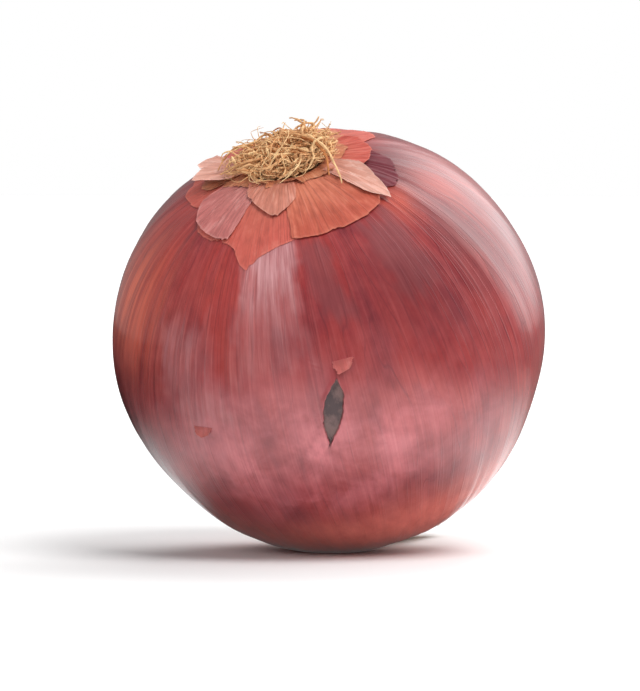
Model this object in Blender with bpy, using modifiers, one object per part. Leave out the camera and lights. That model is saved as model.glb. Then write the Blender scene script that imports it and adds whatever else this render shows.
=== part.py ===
"""A red onion at its real size, lying with its root end up. Metres, +Z up.

The bulb leans back on its dry neck and rests on a small flat spot, with its root end raised towards -Y.
The origin is on the surface it lies on, in the middle of that spot. Every piece is made upright round the
bulb's own axis, with the root end at the top, and then laid in place by one leaning empty.
"""

import math
import random

import bmesh
import bpy
from mathutils import Euler, Matrix, Vector

# The bulb, measured from its centre
BULB_RADIUS = 0.040
ROOT_FLATTENING = 0.045  # share of the radius missing at the root pole
ROOT_FLATTENING_SPREAD = math.radians(30)
TAPER = 0.032  # share of the radius missing on the shoulder above the neck
TAPER_ANGLE = math.radians(62)  # from the neck pole
TAPER_SPREAD = math.radians(20)
OVAL = 0.011  # the bulb is a little wider one way
OVAL_AZIMUTH = math.radians(25)
TRIANGULAR = 0.006
PANELS = 11  # broad flats between the veins of the outer skin
PANEL_DEPTH = 0.0022

# How it lies
LEAN = math.radians(29)  # of the bulb's axis from upright
CENTRE_HEIGHT = 0.0393
CENTRE_SETBACK = -0.0010  # of the bulb's centre from the flat spot's middle, along Y

# The neck, which bends back until it lies along the surface
NECK_ROOT_ANGLE = math.radians(16.5)  # from the neck pole, where the body hollows into the neck
NECK_RADIUS = 0.0046
NECK_WAIST = 0.0035
NECK_BASE_HEIGHT = -0.0435  # along the bulb's axis
NECK_TIP_HEIGHT = -0.0525
NECK_LIE_HEIGHT = 0.0030  # of its middle above the surface
NECK_BEND = 0.0015  # length over which it turns level
NECK_FOLDS = 7
NECK_FOLD_DEPTH = 0.13
NECK_TWIST = math.radians(75)
NECK_TEETH = 0.0011  # how ragged its torn end is

# The root end
RECESS_RADIUS = 0.0078
RECESS_DEPTH = 0.0020
GAP = 0.0003  # between pieces that touch
PLATE_RADIUS = RECESS_RADIUS - 0.0004
PLATE_EDGE = 0.0010
PLATE_CROWN = 0.0016
ROOT_COUNT = 46
ROOT_RADIUS = 0.00052
ROOT_STEPS = 6
ROOT_STEP = 0.0018
ROOT_SUNK = 0.0011
ROOT_CLEARANCE = 0.0032  # of its middle above the bulb, to pass over the dry skin
ROOT_CURL = math.radians(34)
TUFT_SEED = 11
TUFT_RADIUS = 0.0106
TUFT_HEIGHT = 0.0040
TUFT_FRONT_SHORTFALL = 0.28  # share of the radius missing at the front, where the roots turn back up

# The torn dry skin round the roots
SKIN_THICKNESS = 0.0006
COLLAR_INNER_RADIUS = 0.0085
COLLAR_COLUMNS = 76
COLLAR_ROWS = 3
FRONT = math.radians(-59)  # azimuth of the side shown best
# Torn hems as (azimuth from the front, angle from the root pole), in degrees
OUTER_HEM = (
    (-180, 27), (-150, 31), (-128, 26), (-100, 30), (-78, 27), (-62, 33), (-45, 33.5), (-36, 35),
    (-32, 39.5), (-28, 41), (-24, 37), (-15, 34.6), (-5, 33.2), (13, 34), (40, 33), (47, 29), (53, 22),
    (62, 19.5), (76, 20), (90, 24), (103, 22.5), (112, 28), (135, 32), (150, 29), (165, 30.5), (180, 27),
)  # fmt: skip
INNER_HEM = (
    (-180, 17), (-165, 22), (-150, 21), (-140, 16), (-120, 19), (-95, 25), (-71, 26.7), (-60, 31),
    (-47, 33.3), (-41, 30), (-39, 19.5), (-34, 21.5), (-26, 23.9), (-16.6, 24.7), (-7, 23.2), (-1, 20.5),
    (4, 15.5), (15, 17), (30, 20), (39, 25.5), (47, 31.5), (51, 27.5), (57, 20), (62, 16), (72, 22),
    (90, 20), (102, 16), (120, 19), (135, 23), (150, 20), (160, 16), (180, 17),
)  # fmt: skip
CURLED_AZIMUTH = FRONT + math.radians(48)

# The slit in the outer skin
SLIT_POLAR = math.radians(81.5)
SLIT_AZIMUTH = FRONT + math.radians(-5.5)
SLIT_LENGTH = 0.0128
SLIT_WIDTH = 0.0038
SLIT_SLANT = 0.0020
SLIT_DEPTH = 0.0005

BODY_SEGMENTS = 60
BODY_RINGS = 26
RED_SKIN = (0.28, 0.035, 0.055)
COPPER_SKIN = (0.45, 0.10, 0.055)
STRAW_SKIN = (0.62, 0.30, 0.16)
ROOT_TAN = (0.50, 0.28, 0.10)


def bump(angle, middle, spread):
    return math.exp(-(((angle - middle) / spread) ** 2))


def body_radius(polar, azimuth):
    """Distance from the bulb's centre to its skin, at an angle from the root pole and round the axis."""
    girth = math.sin(polar) ** 2
    radius = 1 - ROOT_FLATTENING * bump(polar, 0, ROOT_FLATTENING_SPREAD)
    radius -= TAPER * bump(math.pi - polar, TAPER_ANGLE, TAPER_SPREAD)
    radius += OVAL * girth * math.cos(2 * (azimuth - OVAL_AZIMUTH))
    radius += TRIANGULAR * girth * math.cos(3 * azimuth)
    radius -= PANEL_DEPTH * girth * abs(math.sin(PANELS * azimuth / 2 + 0.8 * math.sin(azimuth)))
    return BULB_RADIUS * radius


def on_body(polar, azimuth, lift=0.0):
    """A point that far above the skin, in the bulb's upright frame."""
    reach = body_radius(polar, azimuth) + lift
    across = reach * math.sin(polar)
    return Vector((across * math.cos(azimuth), across * math.sin(azimuth), reach * math.cos(polar)))


def angles_of(point):
    """Angle from the root pole and azimuth of a point in the bulb's upright frame."""
    across = math.hypot(point.x, point.y)
    return math.atan2(across, point.z), math.atan2(point.y, point.x)


def neck_setback(height):
    """How far the neck's middle is bent back at a height along the axis, so that it levels out on the surface."""
    straight = CENTRE_HEIGHT + height * math.cos(LEAN)
    over = (NECK_LIE_HEIGHT - straight) / NECK_BEND
    raised = NECK_BEND * (over if over > 30 else math.log1p(math.exp(over)))
    return raised / math.sin(LEAN)


def material(name, colour, roughness):
    made = bpy.data.materials.new(name)
    made.use_nodes = True
    shader = made.node_tree.nodes["Principled BSDF"]
    shader.inputs["Base Color"].default_value = (*colour, 1)
    shader.inputs["Roughness"].default_value = roughness
    shader.inputs["Metallic"].default_value = 0
    return made


def finish(obj, name, surface):
    """Names the object, gives it its material and smooth shading, and hangs it on the leaning empty."""
    obj.name = obj.data.name = name
    obj.data.materials.clear()
    obj.data.materials.append(surface)
    obj.data.shade_smooth()
    obj.data.set_sharp_from_angle(angle=math.radians(50))
    for holder in list(obj.users_collection):
        holder.objects.unlink(obj)
    onion.objects.link(obj)
    obj.parent = lean
    return obj


def applied(obj):
    """Replaces the object's mesh by its evaluated one, and drops its modifiers."""
    graph = bpy.context.evaluated_depsgraph_get()
    mesh = bpy.data.meshes.new_from_object(obj.evaluated_get(graph))
    obj.modifiers.clear()
    obj.data = mesh
    return obj


def turned(profile, segments):
    """A solid of revolution from a profile of (radius, height) points that runs top to bottom."""
    mesh = bpy.data.meshes.new("profile")
    mesh.from_pydata([(r, 0, h) for r, h in profile], [(i, i + 1) for i in range(len(profile) - 1)], [])
    obj = bpy.data.objects.new("turned", mesh)
    bpy.context.scene.collection.objects.link(obj)
    screw = obj.modifiers.new("Turn", "SCREW")
    screw.axis = "Z"
    screw.steps = screw.render_steps = segments
    screw.use_merge_vertices = True
    screw.merge_threshold = 0.00001
    return applied(obj)


def bezier(a, b, c, d, t):
    s = 1 - t
    return tuple(
        s**3 * p + 3 * s * s * t * q + 3 * s * t * t * u + t**3 * v for p, q, u, v in zip(a, b, c, d)
    )


def bulb_profile():
    """From the floor of the root recess, over the body and down to the tip of the neck."""
    pole = BULB_RADIUS * (1 - ROOT_FLATTENING)
    floor = pole - RECESS_DEPTH
    rim = math.asin((RECESS_RADIUS + 0.0003) / pole)
    end = math.pi - NECK_ROOT_ANGLE
    points = [(0, floor), (RECESS_RADIUS * 0.6, floor), (RECESS_RADIUS, floor)]
    for ring in range(BODY_RINGS + 1):
        polar = rim + (end - rim) * ring / BODY_RINGS
        plain = BULB_RADIUS * (
            1
            - ROOT_FLATTENING * bump(polar, 0, ROOT_FLATTENING_SPREAD)
            - TAPER * bump(math.pi - polar, TAPER_ANGLE, TAPER_SPREAD)
        )
        points.append((plain * math.sin(polar), plain * math.cos(polar)))
    start = points[-1]
    slope = (-math.cos(NECK_ROOT_ANGLE), -math.sin(NECK_ROOT_ANGLE))
    reach = 0.0055
    leave = (start[0] + reach * slope[0], start[1] + reach * slope[1])
    arrive = (NECK_RADIUS, NECK_BASE_HEIGHT + 0.0025)
    base = (NECK_RADIUS, NECK_BASE_HEIGHT)
    fillet_rings = 5
    points += [bezier(start, leave, arrive, base, k / fillet_rings) for k in range(1, fillet_rings + 1)]
    neck_rings = 7
    for k in range(1, neck_rings + 1):
        t = k / neck_rings
        waist = NECK_RADIUS + (NECK_WAIST - NECK_RADIUS) * math.sin(math.pi * min(t, 0.8) / 1.6)
        points.append((waist, NECK_BASE_HEIGHT + (NECK_TIP_HEIGHT - NECK_BASE_HEIGHT) * t))
    points.append((0, NECK_TIP_HEIGHT + 0.0012))
    return points


def shaped_skin(point):
    """Moves a point of the plain turned bulb to its place on the real one, with its oval, panels and neck."""
    polar, azimuth = angles_of(point)
    across = math.hypot(point.x, point.y)
    neck = min(1, max(0, (-point.z - 0.0385) / 0.005))
    girth = math.sin(polar) ** 2
    swell = OVAL * girth * math.cos(2 * (azimuth - OVAL_AZIMUTH)) + TRIANGULAR * girth * math.cos(3 * azimuth)
    swell -= PANEL_DEPTH * girth * abs(math.sin(PANELS * azimuth / 2 + 0.8 * math.sin(azimuth)))
    swell *= (1 - neck) * min(1, max(0, (across - RECESS_RADIUS) / 0.004))
    placed = point * (1 + swell)
    twisted = NECK_FOLDS * azimuth + NECK_TWIST * neck * NECK_FOLDS * (point.z / NECK_TIP_HEIGHT)
    fold = 1 + NECK_FOLD_DEPTH * neck * math.cos(twisted)
    placed.x *= fold
    placed.y *= fold
    tip = min(1, max(0, (NECK_BASE_HEIGHT - point.z) / (NECK_BASE_HEIGHT - NECK_TIP_HEIGHT)))
    if across > NECK_WAIST / 2:
        placed.z += NECK_TEETH * tip**3 * math.cos(3 * azimuth + 0.7) * 0.5
    placed.y += neck_setback(placed.z)
    return placed


def floor_cutter():
    """A block under the surface, which presses the flat spot into the bulb."""
    size = 0.2
    bpy.ops.mesh.primitive_cube_add(size=size, location=(0, 0, -size / 2))
    return helper(bpy.context.object, "surface")


def slit_cutter():
    """A thin lens that follows the skin, for the slit torn in the outer layer."""
    bpy.ops.mesh.primitive_grid_add(x_subdivisions=10, y_subdivisions=2, size=2)
    obj = bpy.context.object
    for vertex in obj.data.vertices:
        along, across = vertex.co.x, vertex.co.y
        half = SLIT_WIDTH / 2 * (1 - along * along) + 0.00015
        polar = SLIT_POLAR + along * SLIT_LENGTH / 2 / BULB_RADIUS
        azimuth = SLIT_AZIMUTH + (across * half - SLIT_SLANT * along) / (BULB_RADIUS * math.sin(polar))
        vertex.co = on_body(polar, azimuth, 0.0008)
    shell = obj.modifiers.new("Depth", "SOLIDIFY")
    shell.thickness = 0.0008 + SLIT_DEPTH
    shell.offset = -1
    applied(obj)
    face_outward(obj.data)
    obj.parent = lean
    return helper(obj, "slit")


def face_outward(mesh):
    """Makes every face of a closed mesh point out."""
    work = bmesh.new()
    work.from_mesh(mesh)
    bmesh.ops.recalc_face_normals(work, faces=work.faces)
    work.to_mesh(mesh)
    work.free()


def helper(obj, name):
    """Keeps an object that only cuts out of the model."""
    obj.name = name
    obj.hide_render = True
    obj.display_type = "WIRE"
    for holder in list(obj.users_collection):
        holder.objects.unlink(obj)
    cutters.objects.link(obj)
    return obj


def make_bulb():
    """The body in its red skin, grown in one piece with the dried neck."""
    obj = turned(bulb_profile(), BODY_SEGMENTS)
    for vertex in obj.data.vertices:
        vertex.co = shaped_skin(vertex.co)
    finish(obj, "bulb", material("red skin", RED_SKIN, 0.35))
    for cutter in (floor_cutter(), slit_cutter()):
        cut = obj.modifiers.new(cutter.name, "BOOLEAN")
        cut.operation = "DIFFERENCE"
        cut.object = cutter
    return obj


def plate_top(across):
    """Height of the root plate's crown above its edge."""
    return PLATE_CROWN * (1 - (across / PLATE_RADIUS) ** 2)


def plate_edge_height():
    return BULB_RADIUS * (1 - ROOT_FLATTENING) - RECESS_DEPTH + GAP + PLATE_EDGE


def make_plate():
    """The corky disc that the roots grow from."""
    edge = plate_edge_height()
    rings = 4
    profile = [(0, edge + PLATE_CROWN)]
    for ring in range(1, rings + 1):
        across = PLATE_RADIUS * ring / rings
        profile.append((across, edge + plate_top(across)))
    profile += [(PLATE_RADIUS, edge - PLATE_EDGE), (0, edge - PLATE_EDGE)]
    return turned(profile, 24)


def root_floor(point):
    """How far from the bulb's centre a root has to stay there, to clear the skin that lies on the bulb."""
    polar, azimuth = angles_of(point)
    across = math.hypot(point.x, point.y)
    over_skin = min(1, max(0, (across - 0.0052) / 0.0024))
    return body_radius(polar, azimuth) + ROOT_CLEARANCE * over_skin


def tuft_reach(away):
    """How far the roots spread from the plate's middle, in the direction of a point."""
    forward = max(0, math.cos(math.atan2(away.y, away.x) - FRONT))
    return TUFT_RADIUS * (1 - TUFT_FRONT_SHORTFALL * forward**2)


def root_path(index, draw):
    """One curly root: it starts evenly spread over the plate, splays outwards and curls inside the tuft."""
    azimuth = index * math.radians(137.5) + draw.uniform(-0.3, 0.3)
    across = 0.88 * PLATE_RADIUS * math.sqrt((index + 0.5) / ROOT_COUNT)
    out = Vector((math.cos(azimuth), math.sin(azimuth), 0))
    splay = math.radians(34 + 50 * across / PLATE_RADIUS + draw.uniform(-16, 16))
    heading = out * math.sin(splay) + Vector((0, 0, math.cos(splay)))
    foot = out * across + Vector((0, 0, plate_edge_height() + plate_top(across)))
    axis = Vector((draw.uniform(-1, 1), draw.uniform(-1, 1), draw.uniform(-1, 1))).normalized()
    middle = Vector((0, 0, plate_edge_height()))
    point = foot + Vector((0, 0, 0.0009))
    path = [foot - Vector((0, 0, ROOT_SUNK)), point.copy()]
    for step in range(draw.randint(ROOT_STEPS - 3, ROOT_STEPS)):
        axis = (axis + 0.6 * Vector((draw.uniform(-1, 1), draw.uniform(-1, 1), draw.uniform(-1, 1)))).normalized()
        heading = Matrix.Rotation(ROOT_CURL * draw.uniform(0.5, 1.2), 3, axis) @ heading
        away = point - middle
        crowding = max(away.z / TUFT_HEIGHT, math.hypot(away.x, away.y) / tuft_reach(away))
        if crowding > 0.8:
            heading = (heading - away.normalized() * (crowding - 0.8) * 3).normalized()
        point = point + heading * ROOT_STEP
        shortfall = root_floor(point) - point.length
        if shortfall > 0:
            point = point * (1 + shortfall / point.length)
            heading = (heading + 0.6 * point.normalized()).normalized()
        path.append(point.copy())
    return path


def root_mesh(path):
    """A thin four-sided tube along a root, thinner towards its tip."""
    curve = bpy.data.curves.new("root", "CURVE")
    curve.dimensions = "3D"
    curve.bevel_depth = ROOT_RADIUS
    curve.bevel_resolution = 0
    curve.use_fill_caps = True
    spline = curve.splines.new("POLY")
    spline.points.add(len(path) - 1)
    for place, (point, spot) in enumerate(zip(spline.points, path)):
        point.co = (*spot, 1)
        point.radius = 1.08 - 0.45 * place / (len(path) - 1)
    holder = bpy.data.objects.new("root curve", curve)
    bpy.context.scene.collection.objects.link(holder)
    graph = bpy.context.evaluated_depsgraph_get()
    mesh = bpy.data.meshes.new_from_object(holder.evaluated_get(graph))
    work = bmesh.new()
    work.from_mesh(mesh)
    bmesh.ops.remove_doubles(work, verts=work.verts, dist=0.00001)
    work.to_mesh(mesh)
    work.free()
    bpy.data.objects.remove(holder)
    return mesh


def make_root_tuft():
    """The root plate with its curly dry roots, joined into one body."""
    draw = random.Random(TUFT_SEED)
    plate = make_plate()
    bundle = bpy.data.collections.new("roots")
    bpy.context.scene.collection.children.link(bundle)
    for index in range(ROOT_COUNT):
        root = bpy.data.objects.new("root", root_mesh(root_path(index, draw)))
        bundle.objects.link(root)
    join = plate.modifiers.new("Join", "BOOLEAN")
    join.operation = "UNION"
    join.operand_type = "COLLECTION"
    join.collection = bundle
    join.solver = ROOT_SOLVER
    applied(plate)
    for root in list(bundle.objects):
        bpy.data.objects.remove(root)
    bpy.data.collections.remove(bundle)
    return finish(plate, "root_tuft", material("dry roots", ROOT_TAN, 0.8))


def hem_at(hem, azimuth):
    """Angle from the root pole of a torn hem, drawn straight from knot to knot."""
    turn = math.degrees(math.remainder(azimuth - FRONT, math.tau))
    for (left, low), (right, high) in zip(hem, hem[1:]):
        if turn <= right:
            return math.radians(low + (high - low) * (turn - left) / (right - left))
    return math.radians(hem[-1][1])


def outer_lift(azimuth, t):
    """Height of the copper-red skin above the bulb, rising a little at its hem."""
    return GAP + 0.00005 + 0.0005 * t**4 * (0.5 + 0.5 * math.sin(4 * azimuth + 1))


def inner_lift(azimuth, t):
    """Height of the straw-coloured tongues, of which one is curled up at its end."""
    curled = max(0, math.cos(azimuth - CURLED_AZIMUTH)) ** 30
    return 0.00135 + 0.0004 * t**2 + 0.0026 * curled * t**3


def make_collar(name, surface, hem, lift):
    """Thin skin round the root plate: a grid bent into a ring that follows the bulb out to a torn edge."""
    bpy.ops.mesh.primitive_grid_add(x_subdivisions=COLLAR_COLUMNS, y_subdivisions=COLLAR_ROWS, size=2)
    obj = bpy.context.object
    for vertex in obj.data.vertices:
        azimuth = math.pi * vertex.co.x
        t = (vertex.co.y + 1) / 2
        start = math.asin(COLLAR_INNER_RADIUS / BULB_RADIUS)
        vertex.co = on_body(start + (hem_at(hem, azimuth) - start) * t, azimuth, lift(azimuth, t))
    work = bmesh.new()
    work.from_mesh(obj.data)
    bmesh.ops.remove_doubles(work, verts=work.verts, dist=0.00001)
    bmesh.ops.recalc_face_normals(work, faces=work.faces)
    work.to_mesh(obj.data)
    work.free()
    if obj.data.polygons[0].normal.z < 0:
        obj.data.flip_normals()
    shell = obj.modifiers.new("Thickness", "SOLIDIFY")
    shell.thickness = SKIN_THICKNESS
    shell.offset = 1
    return finish(obj, name, surface)


ROOT_SOLVER = "MANIFOLD"

for stray in list(bpy.data.objects):
    bpy.data.objects.remove(stray)
onion = bpy.data.collections.new("red onion")
cutters = bpy.data.collections.new("cutters")
cutters.hide_render = True
bpy.context.scene.collection.children.link(onion)
bpy.context.scene.collection.children.link(cutters)
lean = bpy.data.objects.new("lean", None)
lean.location = (0, CENTRE_SETBACK, CENTRE_HEIGHT)
lean.rotation_euler = Euler((LEAN, 0, 0))
onion.objects.link(lean)
bpy.context.view_layer.update()

make_bulb()
make_root_tuft()
make_collar("collar_outer", material("copper skin", COPPER_SKIN, 0.45), OUTER_HEM, outer_lift)
make_collar("collar_inner", material("straw skin", STRAW_SKIN, 0.55), INNER_HEM, inner_lift)
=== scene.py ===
"""The looks of a red onion that lies with its root end up.

Every piece is shaped in the bulb's own upright frame, with the root end at the top, and then laid in place.
Angles on the bulb are the angle from its root pole and the azimuth round its axis.
"""

import math
import random

import bpy
import numpy as np
from mathutils import Matrix, Vector


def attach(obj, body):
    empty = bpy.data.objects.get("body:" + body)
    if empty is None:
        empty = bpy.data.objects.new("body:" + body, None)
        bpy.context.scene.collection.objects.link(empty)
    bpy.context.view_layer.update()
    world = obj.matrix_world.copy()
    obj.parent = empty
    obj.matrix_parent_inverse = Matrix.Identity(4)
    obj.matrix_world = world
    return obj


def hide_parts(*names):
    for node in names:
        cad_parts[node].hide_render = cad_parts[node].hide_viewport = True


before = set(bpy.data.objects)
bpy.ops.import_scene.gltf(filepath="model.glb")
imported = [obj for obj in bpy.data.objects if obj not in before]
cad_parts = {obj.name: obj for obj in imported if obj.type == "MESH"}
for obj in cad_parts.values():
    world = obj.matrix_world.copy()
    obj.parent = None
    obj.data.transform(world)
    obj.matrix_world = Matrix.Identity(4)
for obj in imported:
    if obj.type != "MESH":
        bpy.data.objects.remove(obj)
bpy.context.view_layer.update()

# The bulb's shape, as in the solids
BULB_RADIUS = 0.040
ROOT_FLATTENING = 0.045
ROOT_FLATTENING_SPREAD = math.radians(30)
TAPER = 0.032
TAPER_ANGLE = math.radians(62)
TAPER_SPREAD = math.radians(20)
OVAL = 0.011
OVAL_AZIMUTH = math.radians(25)
TRIANGULAR = 0.006
PANELS = 11
PANEL_DEPTH = 0.0022
LEAN = math.radians(29)
CENTRE_HEIGHT = 0.0393
CENTRE_SETBACK = -0.0010
NECK_ROOT_ANGLE = math.radians(16.5)
NECK_RADIUS = 0.0046
NECK_WAIST = 0.0035
NECK_BASE_HEIGHT = -0.0435
NECK_TIP_HEIGHT = -0.0525
NECK_LIE_HEIGHT = 0.0030
NECK_BEND = 0.0015
NECK_FOLDS = 7
NECK_FOLD_DEPTH = 0.13
NECK_TWIST = math.radians(75)
NECK_TEETH = 0.0011
RECESS_RADIUS = 0.0078
RECESS_DEPTH = 0.0020
PLATE_RADIUS = 0.0074
PLATE_CROWN = 0.0016
PLATE_EDGE_HEIGHT = BULB_RADIUS * (1 - ROOT_FLATTENING) - RECESS_DEPTH + 0.0013
TUFT_RADIUS = 0.0106
TUFT_HEIGHT = 0.0040
TUFT_FRONT_SHORTFALL = 0.28
FRONT = math.radians(-59)
SLIT_POLAR = math.radians(81.5)
SLIT_AZIMUTH = FRONT + math.radians(-5.5)
SLIT_LENGTH = 0.0128
SLIT_WIDTH = 0.0038
SLIT_SLANT = 0.0020
SLIT_DEPTH = 0.0005

# Torn hems as (azimuth from the front, angle from the root pole), in degrees
OUTER_HEM = (
    (-180, 27), (-150, 31), (-128, 26), (-100, 30), (-78, 27), (-62, 33), (-45, 33.5), (-36, 35),
    (-31.5, 39.2), (-28, 41.0), (-24, 37.4), (-15, 34.8), (-5, 33.2), (13, 33), (40, 31), (47, 28), (53, 22),
    (62, 19.5), (76, 20), (90, 24), (103, 22.5), (112, 28), (135, 32), (150, 29), (165, 30.5), (180, 27),
)  # fmt: skip
TONGUE_HEM = (
    (-180, 17), (-165, 22), (-150, 21), (-140, 16), (-120, 19), (-95, 24), (-80, 19), (-72, 16),
    (-40, 14), (-9, 14), (5, 14), (15, 15), (30, 15), (42, 16), (52, 15), (66, 15),
    (90, 18), (102, 16), (120, 19), (135, 23), (150, 20), (160, 16), (180, 17),
)  # fmt: skip

LAY = Matrix.Translation((0, CENTRE_SETBACK, CENTRE_HEIGHT)) @ Matrix.Rotation(LEAN, 4, "X")


# Shapes


def bump(angle, middle, spread):
    return np.exp(-(((angle - middle) / spread) ** 2))


def smooth(x):
    x = np.clip(x, 0, 1)
    return x * x * (3 - 2 * x)


def plain_radius(polar):
    missing = ROOT_FLATTENING * bump(polar, 0, ROOT_FLATTENING_SPREAD)
    missing = missing + TAPER * bump(np.pi - polar, TAPER_ANGLE, TAPER_SPREAD)
    return BULB_RADIUS * (1 - missing)


def swell(polar, azimuth):
    girth = np.sin(polar) ** 2
    share = OVAL * np.cos(2 * (azimuth - OVAL_AZIMUTH)) + TRIANGULAR * np.cos(3 * azimuth)
    share = share - PANEL_DEPTH * np.abs(np.sin(PANELS * azimuth / 2 + 0.8 * np.sin(azimuth)))
    return girth * share


def on_body(polar, azimuth, lift=0.0):
    """Points that far above the bulb, in its upright frame."""
    reach = plain_radius(polar) * (1 + swell(polar, azimuth)) + lift
    across = reach * np.sin(polar)
    return np.stack([across * np.cos(azimuth), across * np.sin(azimuth), reach * np.cos(polar)], axis=-1)


def on_skin(polar, azimuth, lift=0.0):
    """Points that far above the uneven dry skin of the bulb."""
    return on_body(polar, azimuth, lift + unevenness(polar, azimuth))


def unevenness(polar, azimuth):
    """How far the skin stands in or out there, which dies away at the rim of the root recess."""
    dents = 0.00026 * grain(polar, azimuth, 2.3, 2.2, 11) + 0.00012 * grain(polar, azimuth, 7, 1.2, 12)
    dents = dents + 0.00005 * grain(polar, azimuth, 24, 2.5, 13)
    ends = bump(polar, np.pi, 0.55) + 0.8 * bump(polar, 0, 0.6)
    dents = dents + 0.00016 * ends * grain(polar, azimuth, 13, 5, 14)
    return dents * np.clip((BULB_RADIUS * np.sin(polar) - RECESS_RADIUS) / 0.004, 0, 1)


def noise(points, seed=0):
    """Smooth noise between -1 and 1 at an array of points."""
    table = np.random.RandomState(seed).permutation(256)
    values = np.random.RandomState(seed + 99).uniform(-1, 1, 256)
    cell = np.floor(points).astype(int)
    part = smooth(points - cell)
    total = 0
    for corner in range(8):
        step = np.array([corner & 1, corner >> 1 & 1, corner >> 2 & 1])
        at = (cell + step) & 255
        pick = table[(table[(table[at[..., 0]] + at[..., 1]) & 255] + at[..., 2]) & 255]
        weight = np.prod(np.where(step == 1, part, 1 - part), axis=-1)
        total = total + weight * values[pick]
    return total


def grain(polar, azimuth, round_it, along, seed=0):
    """Noise that is stretched along the bulb's meridians, with no seam round it."""
    polar, azimuth = np.broadcast_arrays(polar, azimuth)
    points = np.stack([round_it * np.cos(azimuth), round_it * np.sin(azimuth), along * polar], axis=-1)
    return noise(points + 40.3, seed)


def from_knots(knots, azimuth):
    """A hem's angle from the root pole, in radians, drawn straight from knot to knot."""
    turn = np.degrees((azimuth - FRONT + np.pi) % (2 * np.pi) - np.pi)
    return np.radians(np.interp(turn, [k[0] for k in knots], [k[1] for k in knots]))


def spread_out(low, high, count, density):
    """Values from low to high, closer together where the density is high."""
    fine = np.linspace(low, high, 6000)
    total = np.concatenate([[0], np.cumsum((density(fine[1:]) + density(fine[:-1])) / 2)])
    return np.interp(np.linspace(0, total[-1], count), total, fine)


def quads(rows, columns, wrap, first=0, flip=False):
    """Faces of a grid of points, facing up where rows run outward and columns turn anticlockwise."""
    faces = []
    for r in range(rows - 1):
        for c in range(columns if wrap else columns - 1):
            d = (c + 1) % columns
            face = (
                first + r * columns + c,
                first + (r + 1) * columns + c,
                first + (r + 1) * columns + d,
                first + r * columns + d,
            )
            faces.append(face[::-1] if flip else face)
    return faces


def laid(points):
    """Points of the upright frame where they lie in the row's frame."""
    return np.asarray(points, float) @ np.array(LAY.to_3x3()).T + np.array(LAY.translation)


def add_mesh(name, points, faces, material, facts=None, replaced=()):
    """A smooth piece that rides on the onion, from points in the bulb's upright frame."""
    mesh = bpy.data.meshes.new(name)
    mesh.from_pydata(laid(points).tolist(), [], faces)
    mesh.validate()
    mesh.materials.append(material)
    mesh.shade_smooth()
    mesh.set_sharp_from_angle(angle=math.radians(50))
    for fact, values in (facts or {}).items():
        kind = "FLOAT_VECTOR" if values.ndim == 2 else "FLOAT"
        layer = mesh.attributes.new(fact, kind, "POINT")
        layer.data.foreach_set("vector" if values.ndim == 2 else "value", values.astype(np.float32).ravel())
    obj = bpy.data.objects.new(name, mesh)
    bpy.context.scene.collection.objects.link(obj)
    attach(obj, "root")
    if replaced:
        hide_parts(*replaced)
    return obj


def facts_of(polar, azimuth, **more):
    """What the materials read at each point: its place on the bulb, and any masks."""
    polar, azimuth = np.broadcast_arrays(polar, azimuth)
    place = np.stack([np.cos(azimuth), np.sin(azimuth), polar], axis=-1).reshape(-1, 3)
    return {"place": place, **{k: np.broadcast_to(v, polar.shape).ravel() for k, v in more.items()}}


def add_sheet(name, points, thickness, wrap, material, facts, replaced=()):
    """A thin closed sheet whose upper face is a grid of points, with facts for each of them."""
    rows, columns = points.shape[:2]
    down = np.gradient(points, axis=0)
    if wrap:
        round_it = np.roll(points, -1, axis=1) - np.roll(points, 1, axis=1)
    else:
        round_it = np.gradient(points, axis=1)
    normal = np.cross(down, round_it)
    normal /= np.maximum(np.linalg.norm(normal, axis=-1, keepdims=True), 1e-12)
    under = points - normal * np.broadcast_to(thickness, points.shape[:2])[..., None]
    size = rows * columns
    faces = quads(rows, columns, wrap) + quads(rows, columns, wrap, size, True)
    for c in range(columns if wrap else columns - 1):
        d = (c + 1) % columns
        last = (rows - 1) * columns
        faces.append((c, d, size + d, size + c))
        faces.append((last + d, last + c, size + last + c, size + last + d))
    if not wrap:
        for r in range(rows - 1):
            a, b = r * columns, (r + 1) * columns
            faces.append((b, a, size + a, size + b))
            a, b = a + columns - 1, b + columns - 1
            faces.append((a, b, size + b, size + a))
    both = np.concatenate([points.reshape(-1, 3), under.reshape(-1, 3)])
    doubled = {k: np.concatenate([v, v]) for k, v in facts.items()}
    return add_mesh(name, both, faces, material, doubled, replaced)


# Materials


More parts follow.
